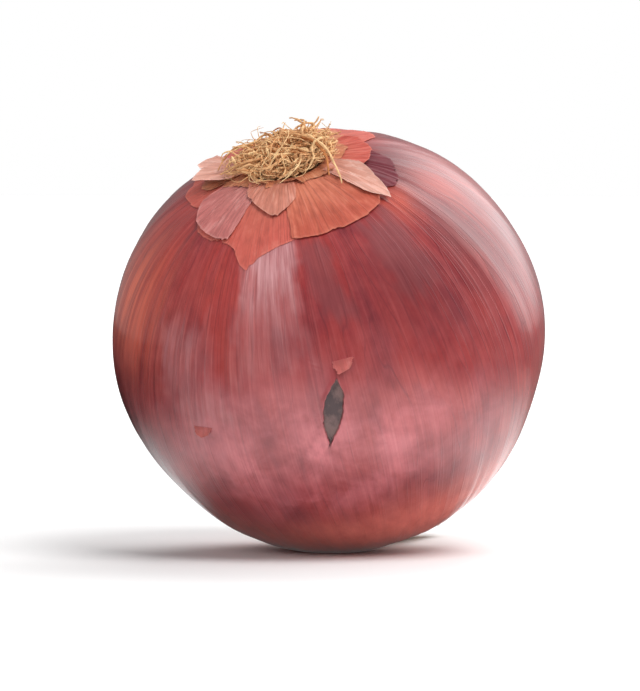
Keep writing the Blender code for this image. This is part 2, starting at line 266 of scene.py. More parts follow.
class Look:
    """A Principled material and short ways to make the nodes that feed it."""

    def __init__(self, name, **constants):
        self.material = bpy.data.materials.new(name)
        self.material.use_nodes = True
        self.tree = self.material.node_tree
        self.shader = self.tree.nodes["Principled BSDF"]
        for socket, value in constants.items():
            self.shader.inputs[socket.replace("_", " ")].default_value = value

    def node(self, kind, inputs=(), **settings):
        made = self.tree.nodes.new(kind)
        for key, value in settings.items():
            setattr(made, key, value)
        for key, value in dict(inputs).items():
            self.feed(made.inputs[key], value)
        return made

    def feed(self, socket, value):
        if isinstance(value, bpy.types.NodeSocket):
            self.tree.links.new(value, socket)
        else:
            socket.default_value = value

    def fact(self, name, output="Fac"):
        return self.node("ShaderNodeAttribute", attribute_name=name).outputs[output]

    def maths(self, operation, a, b=0.0, clamp=False):
        made = self.node("ShaderNodeMath", {0: a, 1: b}, operation=operation, use_clamp=clamp)
        return made.outputs[0]

    def stretched(self, round_it, along, shift=0.0):
        """The place on the bulb as coordinates, so many times round and along it."""
        made = self.node(
            "ShaderNodeVectorMath",
            {0: self.fact("place", "Vector"), 1: (round_it, round_it, along), 2: (shift, shift, shift)},
            operation="MULTIPLY_ADD",
        )
        return made.outputs[0]

    def noise(self, vector, detail=2.0, rough=0.5, scale=1.0, distortion=0.0):
        made = self.node(
            "ShaderNodeTexNoise",
            {"Vector": vector, "Scale": scale, "Detail": detail, "Roughness": rough, "Distortion": distortion},
        )
        return made.outputs["Fac"]

    def veins(self, count, wander):
        """1 on thin lines that run from pole to pole, that many pairs of them, wandering a little."""
        parts = self.node("ShaderNodeSeparateXYZ", {0: self.fact("place", "Vector")})
        turn = self.maths("ARCTAN2", parts.outputs[1], parts.outputs[0])
        drift = self.maths("MULTIPLY", self.noise(self.stretched(5, 0.9, 3.0), detail=2.0), wander * 6)
        wave = self.maths("SINE", self.maths("ADD", self.maths("MULTIPLY", turn, count), drift))
        near = self.ramp(self.maths("ABSOLUTE", wave), (0.0, 1.0), (0.16, 0.0))
        strength = self.ramp(self.noise(self.stretched(9, 2.2, 1.0), detail=2.0), (0.36, 0.15), (0.62, 1.0))
        return self.maths("MULTIPLY", near, strength)

    def ramp(self, value, *stops, smooth_steps=False):
        """Maps a value to numbers or colours, given as (position, number or colour)."""
        made = self.node("ShaderNodeValToRGB", {"Fac": value})
        band = made.color_ramp
        band.interpolation = "EASE" if smooth_steps else "LINEAR"
        while len(band.elements) < len(stops):
            band.elements.new(0.5)
        for element, (position, colour) in zip(band.elements, stops):
            element.position = position
            element.color = (colour,) * 3 + (1,) if isinstance(colour, (int, float)) else (*colour, 1)
        return made.outputs["Color"]

    def mix(self, share, a, b, mode="MIX"):
        made = self.node("ShaderNodeMix", data_type="RGBA", blend_type=mode)
        for socket, value in zip((made.inputs[0], made.inputs[6], made.inputs[7]), (share, a, b)):
            self.feed(socket, (*value, 1) if isinstance(value, tuple) and len(value) == 3 else value)
        return made.outputs[2]

    def relief(self, height, distance, strength=1.0, below=None):
        inputs = {"Height": height, "Distance": distance, "Strength": strength}
        if below is not None:
            inputs["Normal"] = below
        return self.node("ShaderNodeBump", inputs).outputs["Normal"]


def srgb(r, g, b):
    """A colour as seen in a picture, from 0 to 255, as the linear colour that makes it."""
    return tuple(c / 255 / 12.92 if c <= 10 else ((c / 255 + 0.055) / 1.055) ** 2.4 for c in (r, g, b))


def red_skin():
    """Glossy wine-red dry skin with veins along the meridians, panels of tint and silvery lilac patches, with painted
    shade, painted bounce light and a painted reflection of the floor.
    """
    look = Look("red_skin", IOR=1.5, Coat_Weight=0.6, Coat_Roughness=0.11, Coat_IOR=1.5)
    veins = look.noise(look.stretched(24, 0.5, 3.1), detail=1.0)
    ridge = look.maths("ABSOLUTE", look.maths("SUBTRACT", veins, 0.5))
    line = look.ramp(ridge, (0.0, 1.0), (0.03, 0.0))
    fine = look.noise(look.stretched(85, 1.6, 7.7), detail=3.0, rough=0.65)
    panel = look.noise(look.stretched(6.5, 1.9, 11.0), detail=1.5, distortion=0.2)
    broad = look.noise(look.stretched(1.7, 1.5, 5.0), detail=3.0)
    mottle = look.noise(look.stretched(13, 10, 2.0), detail=4.0, rough=0.62)
    cloud = look.noise(look.stretched(4.5, 4.5, 8.0), detail=4.0, rough=0.6, distortion=0.4)
    vein = look.veins(36, 2.4)

    colour = look.ramp(
        broad,
        (0.30, srgb(118, 24, 34)),
        (0.46, srgb(146, 38, 42)),
        (0.60, srgb(166, 52, 48)),
        (0.74, srgb(174, 62, 50)),
    )
    colour = look.mix(look.ramp(panel, (0.44, 0.0), (0.52, 0.4)), colour, srgb(142, 54, 58))
    colour = look.mix(look.ramp(panel, (0.58, 0.0), (0.66, 0.45)), colour, srgb(108, 28, 42))
    colour = look.mix(look.ramp(mottle, (0.46, 0.0), (0.72, 0.32)), colour, srgb(186, 84, 80))
    colour = look.mix(look.ramp(mottle, (0.28, 0.3), (0.46, 0.0)), colour, srgb(100, 24, 34))
    colour = look.mix(look.maths("MULTIPLY", line, 0.3), colour, srgb(92, 20, 28))
    colour = look.mix(look.ramp(fine, (0.3, 0.28), (0.55, 0.0)), colour, srgb(84, 20, 28))
    colour = look.mix(look.ramp(fine, (0.56, 0.0), (0.8, 0.25)), colour, srgb(200, 112, 108))
    colour = look.mix(look.maths("MULTIPLY", vein, 0.5), colour, srgb(86, 18, 32))
    # Painted bounce light: the lowest part of the bulb is painted lighter and oranger, as if lit by the floor below.
    low = look.fact("low")
    colour = look.mix(low, colour, look.mix(mottle, srgb(184, 68, 58), srgb(238, 132, 116)))
    warm = look.fact("warm")
    colour = look.mix(look.maths("MULTIPLY", warm, 0.9), colour, look.mix(fine, srgb(206, 76, 54), srgb(250, 130, 96)))
    grey = look.fact("dull")
    colour = look.mix(look.maths("MULTIPLY", grey, 0.55), colour, look.mix(fine, srgb(92, 38, 46), srgb(142, 84, 86)))
    streaks = look.ramp(look.noise(look.stretched(26, 3.4, 9.0), detail=4.0, rough=0.62), (0.34, 0.3), (0.62, 0.9))
    silver = look.maths("MULTIPLY", look.fact("silver"), streaks)
    colour = look.mix(silver, colour, look.mix(fine, srgb(172, 104, 106), srgb(228, 178, 180)))
    # Painted reflection: a pale pink, cloudy veil over the lower front, where the glossy skin mirrors the bright floor.
    painted_reflection = look.maths("MULTIPLY", look.fact("painted_reflection"), look.ramp(cloud, (0.37, 0.18), (0.61, 0.88)))
    colour = look.mix(painted_reflection, colour, look.mix(fine, srgb(206, 96, 104), srgb(236, 146, 152)))
    # Painted shade: darker purple-red where lifted skin by the roots shades the bulb, on the lower left and over the
    # right side.
    colour = look.mix(look.maths("MULTIPLY", look.fact("painted_shade"), 0.7), colour, srgb(74, 22, 32))
    neck = look.fact("neck")
    dry = look.mix(look.ramp(fine, (0.35, 0.0), (0.65, 1.0)), srgb(124, 74, 46), srgb(206, 156, 108))
    dry = look.mix(look.ramp(line, (0.2, 0.0), (0.9, 0.6)), dry, srgb(94, 44, 38))
    streak = look.ramp(look.noise(look.stretched(16, 0.8, 6.0), detail=3.0), (0.38, 0.0), (0.62, 1.0))
    reach = look.maths("MULTIPLY", look.fact("husk"), look.maths("MULTIPLY", streak, 0.75))
    colour = look.mix(reach, colour, srgb(196, 128, 92))
    colour = look.mix(neck, colour, dry)
    torn = look.fact("torn")
    inner = look.mix(look.ramp(mottle, (0.42, 0.0), (0.6, 1.0)), srgb(66, 42, 44), srgb(118, 88, 84))
    colour = look.mix(torn, colour, inner)
    look.feed(look.shader.inputs["Base Color"], colour)

    rough = look.ramp(panel, (0.4, 0.32), (0.65, 0.42))
    rough = look.mix(look.ramp(fine, (0.35, 0.0), (0.7, 0.5)), rough, (0.48, 0.48, 0.48))
    rough = look.mix(look.ramp(mottle, (0.45, 0.0), (0.7, 0.6)), rough, (0.52, 0.52, 0.52))
    rough = look.mix(look.maths("MAXIMUM", neck, torn), rough, (0.72, 0.72, 0.72))
    look.feed(look.shader.inputs["Roughness"], rough)

    height = look.maths("ADD", look.maths("MULTIPLY", fine, 0.4), look.maths("MULTIPLY", line, 0.5))
    height = look.maths("ADD", height, look.maths("MULTIPLY", mottle, 0.6))
    height = look.maths("ADD", height, look.maths("MULTIPLY", vein, 0.5))
    look.feed(look.shader.inputs["Normal"], look.relief(height, 0.00014, 0.5))
    return look.material


def papery(name, foot, body, hem, gloss=0.45):
    """Thin dry skin, from one tone next to the roots to another at its torn hem, faintly veined."""
    look = Look(name, IOR=1.48, Coat_Weight=0.1, Coat_Roughness=0.3)
    reach = look.fact("reach")
    fine = look.noise(look.stretched(75, 1.6, 4.0), detail=3.0, rough=0.62)
    blotch = look.noise(look.stretched(16, 13, 9.0), detail=4.0, rough=0.6)
    veins = look.noise(look.stretched(17, 0.6, 1.7), detail=0.5)
    line = look.ramp(look.maths("ABSOLUTE", look.maths("SUBTRACT", veins, 0.5)), (0.0, 1.0), (0.022, 0.0))
    colour = look.mix(look.ramp(reach, (0.15, 0.0), (0.85, 1.0)), foot, body)
    colour = look.mix(look.ramp(blotch, (0.3, 0.55), (0.5, 0.0)), colour, tuple(c * 0.62 for c in body))
    colour = look.mix(look.ramp(blotch, (0.52, 0.0), (0.75, 0.5)), colour, hem)
    colour = look.mix(look.ramp(fine, (0.3, 0.3), (0.5, 0.0)), colour, tuple(c * 0.55 for c in body))
    colour = look.mix(look.ramp(fine, (0.56, 0.0), (0.8, 0.22)), colour, hem)
    colour = look.mix(look.maths("MULTIPLY", line, 0.4), colour, tuple(c * 0.5 for c in body))
    colour = look.mix(look.ramp(look.fact("rim"), (0.965, 0.0), (0.99, 0.22)), colour, hem)
    look.feed(look.shader.inputs["Base Color"], colour)
    look.feed(look.shader.inputs["Roughness"], look.ramp(fine, (0.3, gloss - 0.08), (0.7, gloss + 0.1)))
    height = look.maths("ADD", look.maths("MULTIPLY", fine, 0.4), look.maths("MULTIPLY", line, 0.5))
    height = look.maths("ADD", height, look.maths("MULTIPLY", blotch, 0.6))
    look.feed(look.shader.inputs["Normal"], look.relief(height, 0.00016, 0.55))
    return look.material


def root_skin(name, dark, light):
    """Dry fibre in golden tan, each strand in its own tint."""
    look = Look(name, IOR=1.45, Roughness=0.72)
    place = look.node("ShaderNodeNewGeometry").outputs["Position"]
    speck = look.noise(place, detail=3.0, scale=900.0)
    tint = look.fact("tint")
    colour = look.mix(tint, dark, light)
    colour = look.mix(look.ramp(speck, (0.35, 0.4), (0.6, 0.0)), colour, tuple(c * 0.4 for c in dark))
    look.feed(look.shader.inputs["Base Color"], colour)
    look.feed(look.shader.inputs["Normal"], look.relief(speck, 0.0002, 0.6))
    return look.material


# The bulb with its dried neck


def bezier(a, b, c, d, t):
    a, b, c, d = (np.array(p) for p in (a, b, c, d))
    t = t[:, None]
    s = 1 - t
    return s**3 * a + 3 * s * s * t * b + 3 * s * t * t * c + t**3 * d


def bulb_profile():
    """(radius, height) from the floor of the root recess, over the body and down to the tip of the neck."""
    pole = BULB_RADIUS * (1 - ROOT_FLATTENING)
    floor = pole - RECESS_DEPTH
    rim = math.asin((RECESS_RADIUS + 0.0003) / pole)
    end = math.pi - NECK_ROOT_ANGLE
    recess = [(RECESS_RADIUS * s, floor) for s in (0.3, 0.6, 0.9, 1.0)]
    polar = spread_out(rim, end, 112, lambda p: 1 + 1.9 * bump(p, SLIT_POLAR, math.radians(9)))
    reach = plain_radius(polar)
    body = np.stack([reach * np.sin(polar), reach * np.cos(polar)], axis=-1)
    slope = np.array([-math.cos(NECK_ROOT_ANGLE), -math.sin(NECK_ROOT_ANGLE)])
    fillet = bezier(
        body[-1],
        body[-1] + 0.0055 * slope,
        (NECK_RADIUS, NECK_BASE_HEIGHT + 0.0025),
        (NECK_RADIUS, NECK_BASE_HEIGHT),
        np.linspace(0, 1, 15)[1:],
    )
    t = np.linspace(0, 1, 27)[1:]
    waist = NECK_RADIUS + (NECK_WAIST - NECK_RADIUS) * np.sin(np.pi * np.minimum(t, 0.8) / 1.6)
    neck = np.stack([waist, NECK_BASE_HEIGHT + (NECK_TIP_HEIGHT - NECK_BASE_HEIGHT) * t], axis=-1)
    cap = [(NECK_WAIST * 0.55, NECK_TIP_HEIGHT + 0.0006)]
    return np.concatenate([recess, body, fillet, neck, cap])


def neck_setback(height):
    """How far the neck's middle is bent back, so that it levels out on the surface."""
    over = (NECK_LIE_HEIGHT - CENTRE_HEIGHT - height * math.cos(LEAN)) / NECK_BEND
    return NECK_BEND * np.logaddexp(0, over) / math.sin(LEAN)


def wrapped(angle):
    return (angle + np.pi) % (2 * np.pi) - np.pi


def along_slit(polar, azimuth):
    """Azimuths moved so that columns of points run along the slit's lips, and how far inside it each lies."""
    along = (polar - SLIT_POLAR) * BULB_RADIUS / (SLIT_LENGTH / 2)
    girth = BULB_RADIUS * np.sin(polar)
    across = wrapped(azimuth - SLIT_AZIMUTH) * girth
    lip = SLIT_WIDTH / 2
    open_share = np.clip((1 - along**2) * (1 - 0.3 * along), 0.1, 1.1)
    far = np.abs(across)
    inner = far * open_share
    outer = lip * open_share + (far - lip) * (5 - open_share) / 4
    moved = np.sign(across) * np.where(far < lip, inner, np.where(far < 5 * lip, outer, far))
    near = smooth(1.2 - far / (6 * lip)) * smooth((1.7 - np.abs(along)) / 0.6)
    wander = 0.00020 * noise(np.stack([polar * 90, np.sign(across) * 7.3, polar * 0], axis=-1), 5)
    moved = moved - near * (SLIT_SLANT * np.clip(along, -1.2, 1.2) + wander * (far > 0.3 * lip))
    reached = smooth((1.9 - np.abs(along)) / 0.5)
    moved = across + (moved - across) * reached
    beyond = np.hypot(np.maximum(far - lip, 0), np.maximum(np.abs(along) - 1, 0) * SLIT_LENGTH / 2)
    within = np.minimum((lip - far) * open_share, (1 - np.abs(along)) * SLIT_LENGTH / 2)
    return SLIT_AZIMUTH + moved / girth, np.where(within > 0, within, -beyond)


def in_patch(polar, azimuth, corners, fray=1.2, seed=3, blur=0.8):
    """1 inside a patch bounded by four corners (azimuth from the front, angle from the pole) in degrees.

    The corners run top left, top right, bottom right, bottom left.
    """
    turn = np.degrees((azimuth - FRONT + np.pi) % (2 * np.pi) - np.pi)
    down = np.degrees(polar)
    turn = turn + fray * grain(polar, azimuth, 9, 14, seed) + 0.5 * fray * grain(polar, azimuth, 30, 40, seed + 1)
    down = down + 1.6 * fray * grain(polar, azimuth, 34, 5, seed + 2)
    (tl, tr, br, bl) = corners
    share = np.clip((down - (tl[1] + tr[1]) / 2) / ((bl[1] + br[1]) / 2 - (tl[1] + tr[1]) / 2), 0, 1)
    left = tl[0] + (bl[0] - tl[0]) * share
    right = tr[0] + (br[0] - tr[0]) * share
    across = np.clip((turn - left) / np.maximum(right - left, 1e-6), 0, 1)
    top = tl[1] + (tr[1] - tl[1]) * across
    bottom = bl[1] + (br[1] - bl[1]) * across
    edge = np.minimum(np.minimum(turn - left, right - turn), np.minimum(down - top, bottom - down))
    return smooth(edge / blur + 0.5)


def make_bulb(material):
    profile = bulb_profile()
    turns = spread_out(
        -np.pi,
        np.pi,
        577,
        lambda a: 1
        + 5.5 * bump(wrapped(a - SLIT_AZIMUTH), 0, math.radians(2.9))
        + 0.6 * bump(wrapped(a - FRONT), 0, math.radians(60)),
    )[:-1]
    across, height = profile[:, 0][:, None], profile[:, 1][:, None]
    steps = np.linalg.norm(np.diff(profile, axis=0), axis=1)
    travelled = np.concatenate([[0], np.cumsum(steps)])[:, None] / BULB_RADIUS
    azimuth = np.broadcast_to(turns, (len(profile), len(turns)))
    polar = np.broadcast_to(np.arctan2(across, height), azimuth.shape)
    azimuth, inside = along_slit(polar, azimuth)
    neck = np.clip((-height - 0.0385) / 0.005, 0, 1)
    body = (1 - neck) * np.clip((across - RECESS_RADIUS) / 0.004, 0, 1)
    reach = np.hypot(across, height) * (1 + swell(polar, azimuth) * body)

    torn = smooth(inside / 0.00016)
    lips = 0.00022 * np.exp(-((np.minimum(inside, 0) / 0.0007) ** 2)) * (1 - torn)
    reach = reach + (1 - neck) * unevenness(polar, azimuth) + body * lips - torn * SLIT_DEPTH

    x = reach * np.sin(polar) * np.cos(azimuth)
    y = reach * np.sin(polar) * np.sin(azimuth)
    z = reach * np.cos(polar)
    twisted = NECK_FOLDS * azimuth + NECK_TWIST * neck * NECK_FOLDS * (height / NECK_TIP_HEIGHT)
    fold = 1 + NECK_FOLD_DEPTH * neck * np.cos(twisted)
    fold = fold + neck * (0.05 * np.cos(2.7 * twisted + 1) + 0.09 * grain(height * 160, azimuth, 4, 1, 15))
    x, y = x * fold, y * fold
    tip = np.clip((NECK_BASE_HEIGHT - height) / (NECK_BASE_HEIGHT - NECK_TIP_HEIGHT), 0, 1)
    ragged = np.where(across > NECK_WAIST / 2, tip**3, 0)
    z = z + 0.5 * NECK_TEETH * ragged * (np.cos(3 * azimuth + 0.7) + 0.8 * grain(0, azimuth, 5, 1, 16))
    y = y + neck_setback(z)

    rows, columns = azimuth.shape
    points = np.stack([x, y, z], axis=-1).reshape(-1, 3)
    ends_of = np.array([(0, 0, profile[0, 1]), points[-columns:].mean(axis=0)])
    ends_of[1, 2] += 0.0003
    points = np.concatenate([points, ends_of])
    pressed = laid(points)
    pressed[:, 2] = np.maximum(pressed[:, 2], 0)
    points = (pressed - np.array(LAY.translation)) @ np.array(LAY.to_3x3())
    faces = quads(rows, columns, True)
    size = rows * columns
    for c in range(columns):
        d = (c + 1) % columns
        faces.append((size, c, d))
        faces.append((size + 1, size - columns + d, size - columns + c))

    turn = (azimuth - FRONT + np.pi) % (2 * np.pi) - np.pi
    fade = 1 - 0.7 * smooth((polar - math.radians(40)) / math.radians(22))
    silver = np.maximum(
        fade * in_patch(polar, azimuth, ((-28, 32), (-8, 32), (-8.0, 66), (-32, 72)), 2.0, 21, 6.0),
        0.38 * in_patch(polar, azimuth, ((-60, 58), (-43, 56), (-33, 82), (-48, 86)), 2.4, 24, 8.0),
    )
    dull = np.maximum(
        in_patch(polar, azimuth, ((-5, 34), (6, 35), (8, 60), (-2, 56)), 1.8, 31, 5.0),
        in_patch(polar, azimuth, ((22, 35), (42, 36), (38, 58), (24, 60)), 2.0, 34, 6.0),
    )
    dull = np.maximum(dull, 0.8 * in_patch(polar, azimuth, ((52, 36), (66, 38), (60, 62), (50, 58)), 2.0, 37, 6.0))
    warm = bump(turn, math.radians(-82), math.radians(20)) * bump(polar, math.radians(58), math.radians(17))
    warm = np.maximum(warm, 0.5 * bump(turn, math.radians(50), math.radians(12)) * bump(polar, 0.62, 0.12))
    streaky = 0.85 + 0.6 * grain(polar, azimuth, 20, 2, 64) + 0.5 * grain(polar, azimuth, 55, 3, 65)
    warm = warm * np.clip(streaky, 0.3, 1)
    # Painted shade: a shadow under the lifted skin right of the roots, a darker lower left and a darker right side.
    painted_shade = bump(turn, math.radians(74), math.radians(24)) * bump(polar, math.radians(28), math.radians(10))
    painted_shade = np.maximum(painted_shade, bump(turn, math.radians(-86), math.radians(32)) * bump(polar, 1.8, 0.4))
    uneven = np.clip(0.8 + 0.5 * grain(polar, azimuth, 4, 2.5, 63), 0, 1)
    painted_shade = np.maximum(painted_shade, 0.62 * uneven * bump(turn, math.radians(34), math.radians(42)) * bump(polar, 1.02, 0.33))
    # Painted bounce light from the floor: lighter towards the bottom, most at the front.
    low = smooth((polar - math.radians(112) + 0.12 * grain(polar, azimuth, 3, 1, 51)) / 0.35)
    low = low * (0.4 + 0.6 * bump(turn, math.radians(10), math.radians(62)))
    # Painted reflection of the bright floor: a cloudy veil over the lower front.
    painted_reflection = bump(polar, math.radians(95), math.radians(21)) * bump(turn, math.radians(-10), math.radians(45))
    painted_reflection = painted_reflection * np.clip(0.75 + 0.5 * grain(polar, azimuth, 5, 5, 61) + 0.35 * grain(polar, azimuth, 14, 16, 62), 0, 1)
    dry = smooth((-height - 0.0385) / 0.005)
    husk = smooth((travelled - 2.45) / 0.45) + 0 * azimuth
    masks = {"silver": silver, "dull": dull, "warm": warm, "painted_shade": painted_shade, "low": low, "painted_reflection": painted_reflection, "husk": husk}
    facts = facts_of(travelled, azimuth, neck=dry, torn=torn, **masks)
    facts = {k: np.concatenate([v, v[:1], v[-1:]]) for k, v in facts.items()}
    add_mesh("bulb_skin", points, faces, material, facts, ["bulb"])


# Dry skin round the root end


def ragged(azimuth, size, seed, notches=14):
    """Tears along a hem, in radians: straight runs between corners, a few deep notches and a fine fray."""
    draw = np.random.RandomState(seed)
    corners = np.sort(draw.uniform(0, 2 * np.pi, 46))
    offsets = draw.uniform(-1, 1, 46)
    tears = size * np.interp(azimuth, corners, offsets, period=2 * np.pi)
    for _ in range(notches):
        middle, width, depth = draw.uniform(0, 2 * np.pi), draw.uniform(0.012, 0.04), draw.uniform(0.6, 2.6)
        apart = np.abs((azimuth - middle + np.pi) % (2 * np.pi) - np.pi)
        tears = tears - size * depth * np.clip(1 - apart / width, 0, 1)
    return tears + 0.16 * size * grain(0, azimuth, 60, 1, seed + 1) + 0.1 * size * grain(0, azimuth, 160, 1, seed + 2)


def make_outer_collar(material):
    """The copper-red hem of the outermost skin."""
    azimuth = np.linspace(-np.pi, np.pi, 900, endpoint=False)[None, :]
    t = np.linspace(0, 1, 26)[:, None]
    hem = from_knots(OUTER_HEM, azimuth) + ragged(azimuth, math.radians(0.6), 41)
    start = math.asin(0.0082 / BULB_RADIUS)
    polar = start + (hem - start) * t
    turn = np.degrees((azimuth - FRONT + np.pi) % (2 * np.pi) - np.pi)
    bare = smooth((np.abs(turn - 22) - 30) / 8)
    lift = 0.00012 + 0.0005 * bare * t**8 * np.clip(grain(0, azimuth, 5, 1, 43) - 0.1, 0, 1)
    lift = lift + 0.00003 * grain(polar, azimuth, 30, 4, 45)
    points = on_skin(polar, azimuth, lift)
    facts = facts_of(polar, azimuth, reach=t, rim=t)
    add_sheet("collar_outer_skin", points, 0.0001 - 0.00006 * t**4, True, material, facts, ["collar_outer"])


def make_tongues(material):
    """The straw-coloured ring of short tongues next to the roots."""
    azimuth = np.linspace(-np.pi, np.pi, 720, endpoint=False)[None, :]
    t = np.linspace(0, 1, 22)[:, None]
    hem = from_knots(TONGUE_HEM, azimuth) + ragged(azimuth, math.radians(1.3), 51)
    start = math.asin(0.0080 / BULB_RADIUS)
    polar = start + (hem - start) * t
    lift = 0.00050 + 0.0009 * t**3 * np.clip(grain(0, azimuth, 4, 1, 53), 0, 1)
    lift = lift + (0.00004 + 0.00010 * t**2) * grain(polar, azimuth, 18, 2, 54)
    points = on_skin(polar, azimuth, lift)
    facts = facts_of(polar, azimuth, reach=t, rim=t)
    add_sheet("tongues_skin", points, 0.00012 - 0.00007 * t**4, True, material, facts, ["collar_inner"])


def make_flake(name, material, span, start, hem, lift, seed, tear=0.4, taper=0.0, bow=0.0, curl=0.0, roll=0.0):
    """A single tongue of skin across a span of azimuths from the front, in degrees, with a hem given by knots.

    It lies low above the skin at its foot and rises along its length, as the two lifts say. Curl bends its end
    up, roll lifts its right edge, taper narrows it towards its end and bow arches it across.
    """
    s = np.linspace(0, 1, 100)[None, :]
    t = np.linspace(0, 1, 60)[:, None]
    turn = span[0] + (span[1] - span[0]) * (0.5 + (s - 0.5) * (1 - taper * t**2))
    fray = 0.5 * grain(t * 3, 0 * s, 1, 3, seed) + 0.3 * grain(t * 3, 0 * s, 1, 11, seed + 5)
    turn = turn + fray * np.where(s < 0.5, 1, -1) * np.abs(2 * s - 1) ** 2
    azimuth = FRONT + np.radians(turn)
    end = from_knots(hem, azimuth) + ragged(azimuth, math.radians(tear), seed + 1)
    polar = math.radians(start) + (end - math.radians(start)) * t
    rise = lift[0] + (lift[1] - lift[0]) * t**1.5 + curl * t**4 + roll * smooth((s - 0.45) / 0.55) ** 2 * (0.2 + 0.8 * t)
    rise = rise + bow * (1 - (2 * s - 1) ** 2) * t
    rise = rise + 0.00006 * t * grain(polar, azimuth, 16, 3, seed + 3) + 0.00002 * grain(polar, azimuth, 60, 9, seed + 4)
    rise = rise + 0.00009 * smooth(t * 3) * (1 - 2 * np.abs(grain(polar, azimuth, 24, 2.2, seed + 7)))
    points = on_skin(polar, azimuth, rise)
    rim = np.maximum(t, 1 - (1 - np.abs(2 * s - 1)) * 0.8)
    facts = facts_of(polar, azimuth, reach=t, rim=rim)
    add_sheet(name, points, 0.0001 - 0.00006 * rim**4, False, material, facts, ())


# The root end


def make_plate(material):
    """The corky disc that the roots grow from."""
    azimuth = np.linspace(-np.pi, np.pi, 96, endpoint=False)[None, :]
    share = np.linspace(0.04, 1, 18)[:, None]
    across = PLATE_RADIUS * share * np.ones_like(azimuth)
    height = PLATE_EDGE_HEIGHT + PLATE_CROWN * (1 - share**2)
    spots = np.stack([across * np.cos(azimuth) * 900, across * np.sin(azimuth) * 900, across * 0], axis=-1)
    height = height + 0.00035 * noise(spots + 30, 71) + 0.0002 * noise(spots * 2.3 + 30, 72)
    top = np.stack([across * np.cos(azimuth), across * np.sin(azimuth), height], axis=-1)
    ring = top[-1].copy()
    ring[:, 2] = PLATE_EDGE_HEIGHT - 0.0010
    rows, columns = top.shape[:2]
    points = np.concatenate([top.reshape(-1, 3), ring, [(0, 0, PLATE_EDGE_HEIGHT + PLATE_CROWN)], [(0, 0, ring[0, 2])]])
    faces = quads(rows + 1, columns, True)
    size = (rows + 1) * columns
    for c in range(columns):
        d = (c + 1) % columns
        faces.append((size, c, d))
        faces.append((size + 1, size - columns + d, size - columns + c))
    tint = np.full(len(points), 0.25)
    add_mesh("root_plate", points, faces, material, {"tint": tint}, ["root_tuft"])


def tuft_reach(away):
    """How far the roots spread: less at the front, where they turn back up."""
    forward = max(0, math.cos(math.atan2(away.y, away.x) - FRONT))
    return TUFT_RADIUS * (1 - TUFT_FRONT_SHORTFALL * forward**2)


def root_path(index, count, draw):
    """One dry root: it rises from the plate, leans over and lies down in the nest of the others."""
    azimuth = index * math.radians(137.508) + draw.uniform(-0.4, 0.4)
    across = 0.94 * PLATE_RADIUS * math.sqrt((index + 0.5) / count)
    out = Vector((math.cos(azimuth), math.sin(azimuth), 0))
    splay = math.radians(48 + 34 * across / PLATE_RADIUS + draw.uniform(-34, 14))
    swing = Matrix.Rotation(draw.gauss(0, 0.9), 3, "Z")
    heading = swing @ out * math.sin(splay) + Vector((0, 0, math.cos(splay)))
    crown = PLATE_CROWN * (1 - (across / PLATE_RADIUS) ** 2)
    point = out * across + Vector((0, 0, PLATE_EDGE_HEIGHT + crown - 0.0006))
    axis = Vector((draw.uniform(-1, 1), draw.uniform(-1, 1), draw.uniform(-1, 1))).normalized()
    step = 0.0005
    tightness = draw.uniform(1, 6) if draw.random() < 0.55 else draw.uniform(7, 22)
    ceiling = TUFT_HEIGHT * draw.uniform(0.45, 1.0)
    room = draw.uniform(0.55, 1.04)
    strays = draw.randint(1, 7)
    path = [point.copy(), point + Vector((0, 0, 0.0009))]
    point = path[-1].copy()
    for _ in range(draw.randint(9, 24)):
        jolt = Vector((draw.uniform(-1, 1), draw.uniform(-1, 1), draw.uniform(-1, 1)))
        axis = (axis + 0.35 * jolt).normalized()
        heading = Matrix.Rotation(math.radians(tightness * draw.uniform(0.4, 1.6)), 3, axis) @ heading
        away = Vector((point.x, point.y, 0))
        if point.z - PLATE_EDGE_HEIGHT > ceiling:
            heading.z = min(heading.z, 0) - 0.06
        if away.length > room * tuft_reach(away):
            strays -= 1
            if strays < 0:
                break
            outward = away.normalized()
            heading = heading - outward * (max(0, heading.dot(outward)) * 0.6 + 0.04)
        heading.normalize()
        point = point + heading * step
        across_now = math.hypot(point.x, point.y)
        polar = math.atan2(across_now, point.z)
        rise = 0.0014 * min(1, max(0, (across_now - 0.0060) / 0.0022))
        floor = float(plain_radius(np.float64(polar))) + rise
        if point.length < floor and across_now > 0.004:
            point = point * (floor / point.length)
            heading = (heading + 0.25 * point.normalized()).normalized()
        path.append(point.copy())
    return path


def tube(path, radii, sides):
    """Points of a tube round a path, ring by ring, with a closing point at each end."""
    line = np.array([tuple(p) for p in path])
    along = np.gradient(line, axis=0)
    along /= np.linalg.norm(along, axis=1, keepdims=True)
    side = np.cross(along[0], (0.3, 0.9, 0.2))
    rings = []
    for spot, heading, radius in zip(line, along, radii):
        side = side - heading * side.dot(heading)
        side /= np.linalg.norm(side)
        other = np.cross(heading, side)
        turns = np.linspace(0, 2 * np.pi, sides, endpoint=False)[:, None]
        rings.append(spot + radius * (np.cos(turns) * side + np.sin(turns) * other))
    return np.concatenate([*rings, line[:1], line[-1:] + along[-1:] * radii[-1]])


def drawn_path(knots):
    """A root through points given as angle from the pole, azimuth from the front and lift, in degrees and metres."""
    spots = np.array([on_body(math.radians(p), FRONT + math.radians(a), lift) for p, a, lift in knots])
    spots = np.concatenate([[2 * spots[0] - spots[1]], spots, [2 * spots[-1] - spots[-2]]])
    path = []
    for a, b, c, d in zip(spots, spots[1:], spots[2:], spots[3:]):
        for t in np.linspace(0, 1, 8, endpoint=False):
            spot = 2 * b + (c - a) * t + (2 * a - 5 * b + 4 * c - d) * t**2 + (3 * b - a - 3 * c + d) * t**3
            path.append(Vector(spot / 2))
    return path


